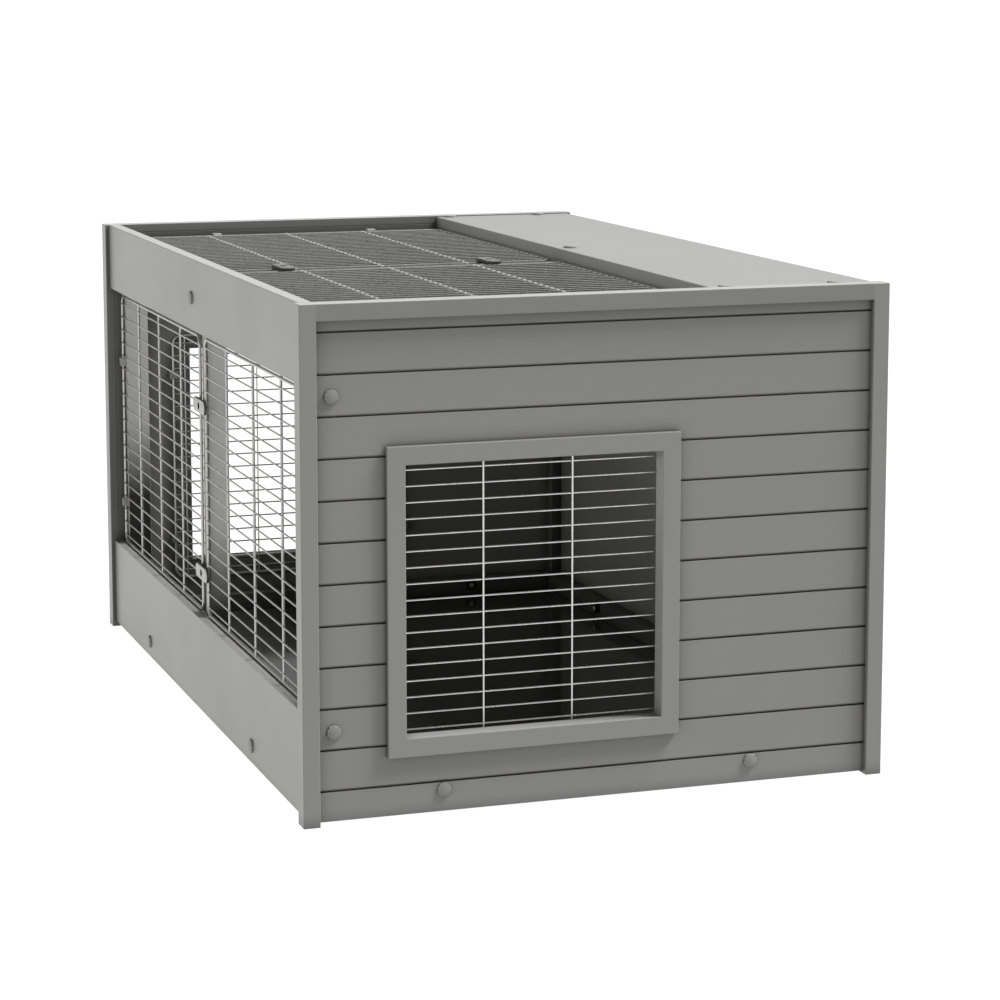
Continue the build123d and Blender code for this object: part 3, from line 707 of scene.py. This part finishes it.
def place_button(pattern, node):
    """Copy the button onto one CAD button, with its plate towards the outside."""
    low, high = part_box(node)
    size = high - low
    axis = min(range(3), key=lambda index: size[index])
    facing = -AXES[1] if axis == 1 else UP
    foot = (low + high) / 2
    foot[axis] = (low[axis] if facing[axis] > 0 else high[axis]) + facing[axis] * HUB_LENGTH
    piece = stand(f"{node}_plate", pattern.data.copy(), foot, facing)
    settle(piece, node, (plate, dark_zinc_painted_shade, hub_and_recess_shade))
    # Painted shade: the plate's sides take a dark zinc.
    for face in piece.data.polygons:
        height = (face.center - foot).dot(facing)
        spread = (face.center - foot - facing * height).length
        # Painted shade: the plate's recess takes the black of the hub.
        in_recess = spread < RECESS_RADIUS + TOUCHING and height < PLATE_SIZE[2] - TOUCHING
        if height < -TOUCHING or in_recess:
            face.material_index = HUB_SLOT
        elif abs(face.normal.dot(facing)) < SIDEWAYS:
            face.material_index = PLATE_EDGE_SLOT
    work_on(piece)
    bpy.ops.object.shade_smooth_by_angle(angle=SMOOTH_ANGLE)


button_pattern = make_button("button_pattern")
for node in ("door_button_lower", "door_button_upper", "lid_button_front", "lid_button_rear"):
    place_button(button_pattern, node)
bpy.data.objects.remove(button_pattern)


# Wires, clips, studs, nuts and floor keep their CAD shapes


def finish_node(node, finish):
    """Give a CAD node its finish in every material slot."""
    piece = frame["nodes"][node]
    if not piece.material_slots:
        piece.data.materials.append(finish)
    for material_slot in piece.material_slots:
        material_slot.material = finish


for side in SIDES:
    for kind, finish in (*wire.items(), *clip.items()):
        finish_node(f"{side}_{kind}", finish)
for studs in ("door_button_studs", "lid_button_studs"):
    finish_node(studs, dark_zinc_painted_shade)
finish_node("batten_nuts", nut_metal)
finish_node("floor_panel", floor_board)


# Studio: a white floor, soft daylight from above and in front, and the camera

WHITE = grey(1.0, warmth=0)
FLOOR_SIZE = 600.0
FLOOR_REFLECT = 0.04
FLOOR_GLOW = 1.0
BACKDROP_LEVEL = 1.05
HORIZON_LEVEL = 0.5
ZENITH_LEVEL = 0.12
ZENITH_HEIGHT = 0.7
LEVEL_VIEW = math.radians(90)
CAMERA_PLACE = (3.7954, -1.2271, 1.0001)
CAMERA_YAW = math.radians(71.169)
CAMERA_PITCH = math.radians(8.342)
CAMERA_LENS = 104.09
CAMERA_SHIFT = -0.1

# Suns as name, strength, width and the way towards them
LIGHTS = (("top_light", 11.4, math.radians(25), (0.095, 0.55, 0.82)),
          ("front_light", 2.2, math.radians(60), (0.0, -1.0, 0.25)))

bpy.ops.object.select_all(action="DESELECT")
bpy.ops.mesh.primitive_plane_add(size=FLOOR_SIZE)
studio_floor = bpy.context.object
studio_floor.name = "studio_floor"
paper = Finish("white_paper")
paper_cloud = paper.noise(paper.place(), scale=3.0)
paper_colour = paper.shades(FLOOR_REFLECT, darkest=0.99, lightest=1.01,
                            layers=((1.0, paper_cloud),), warmth=0)
studio_floor.data.materials.append(paper.surface(
    Base_Color=paper_colour, Roughness=1.0, Specular_IOR_Level=0.0,
    Emission_Color=WHITE, Emission_Strength=FLOOR_GLOW))

world = bpy.data.worlds.new("studio_light")
bpy.context.scene.world = world
world.use_nodes = True
sky = Nodes(world.node_tree)
sky_height = sky.part(sky.node("ShaderNodeTexCoord", {}, {}, "Generated"), "Z")
fade = sky.node("ShaderNodeMapRange", {}, {"Value": sky_height, "From Min": 0.0, "From Max": ZENITH_HEIGHT,
                                           "To Min": HORIZON_LEVEL, "To Max": ZENITH_LEVEL})
background = sky.tree.nodes["Background"]
sky.feed(background.inputs["Color"], WHITE)
sky.feed(background.inputs["Strength"], fade)
daylight = Socket(sky, background.outputs[0])
backdrop = sky.node("ShaderNodeBackground", {}, {"Color": WHITE, "Strength": BACKDROP_LEVEL})
camera_ray = sky.node("ShaderNodeLightPath", {}, {}, "Is Camera Ray")
chosen = sky.node("ShaderNodeMixShader", {}, {0: camera_ray, 1: daylight, 2: backdrop})
sky.feed(sky.tree.nodes["World Output"].inputs["Surface"], chosen)

for light_name, energy, width, source in LIGHTS:
    light = add(light_name, bpy.data.lights.new(light_name, "SUN"))
    light.data.energy = energy
    light.data.angle = width
    light.rotation_euler = Vector(source).to_track_quat("Z", "Y").to_euler()
    light.visible_glossy = False

camera = add("camera", bpy.data.cameras.new("camera"))
camera.location = CAMERA_PLACE
camera.rotation_euler = (LEVEL_VIEW - CAMERA_PITCH, 0, CAMERA_YAW)
camera.data.lens = CAMERA_LENS
camera.data.shift_y = CAMERA_SHIFT
camera.data.clip_end = FLOOR_SIZE
bpy.context.scene.camera = camera
bpy.context.scene.view_settings.view_transform = "Standard"
